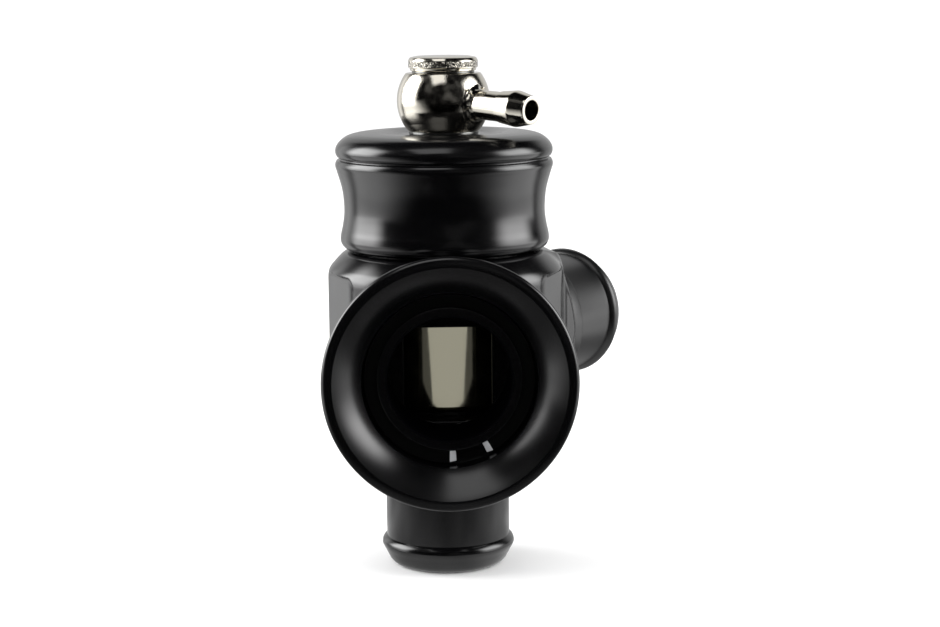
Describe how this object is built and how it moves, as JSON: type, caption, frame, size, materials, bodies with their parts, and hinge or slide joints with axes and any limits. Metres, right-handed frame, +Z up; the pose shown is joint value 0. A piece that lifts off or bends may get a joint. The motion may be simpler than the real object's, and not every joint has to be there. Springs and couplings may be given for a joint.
{
  "type": "blow off valve",
  "caption": "Black blow off valve with a sprung piston, a front trumpet venting to air, beaded hose tails below and at the back, and a banjo vacuum fitting on its cap.",
  "frame": {"origin": "centre of the bounding box in x and y, on the plane of the inlet tail's end", "axes": "+Z up along the piston's axis, away from the inlet. -Y is the way the trumpet faces, and the rear tail leaves towards +X +Y"},
  "size_m": [0.0626, 0.0818, 0.1027],
  "materials": {
    "black_anodised": "black anodised, satin gloss",
    "satin_nickel": "electroless nickel on aluminium, fine turned, slightly champagne",
    "bright_nickel": "bright nickel plate on brass",
    "crush_washer": "plain soft aluminium",
    "black_steel": "black phosphate, bare cut ends",
    "spring_steel": "oil tempered spring wire",
    "nitrile": "matte black nitrile",
    "guide_ring": "bronze filled PTFE"
  },
  "bodies": {
    "housing": {"body": "black_anodised", "cap": "black_anodised", "inlet_hose_tail": "black_anodised", "recirc_hose_tail": "black_anodised", "trumpet_snap_ring": "black_steel", "banjo_bolt": "bright_nickel", "banjo_washer_upper": "crush_washer", "banjo_washer_lower": "crush_washer", "spring_seat": "spring_steel", "spring": "spring_steel", "cap_o_ring": "nitrile", "trumpet_o_ring": "nitrile", "recirc_o_ring": "nitrile", "inlet_o_ring": "nitrile"},
    "piston": {"piston": "satin_nickel", "piston_upper_ring": "guide_ring", "piston_lower_ring": "guide_ring"},
    "trumpet": {"trumpet": "black_anodised"},
    "banjo": {"banjo_eye": "bright_nickel", "banjo_tail": "bright_nickel"}
  },
  "joints": [
    {"name": "piston_lift", "type": "slide", "parent": "housing", "child": "piston", "axis": [0, 0, 1], "range_m": [0, 0.0125], "stiffness_N_per_m": 1500, "springref_m": -0.015, "deforming": ["spring"]},
    {"name": "trumpet_turn", "type": "hinge", "parent": "housing", "child": "trumpet", "pos_m": [-0.00725, -0.03308, 0.0432], "axis": [0, -1, 0], "continuous": true},
    {"name": "banjo_swivel", "type": "hinge", "parent": "housing", "child": "banjo", "pos_m": [-0.00725, -0.00308, 0.09365], "axis": [0, 0, 1], "continuous": true}
  ]
}
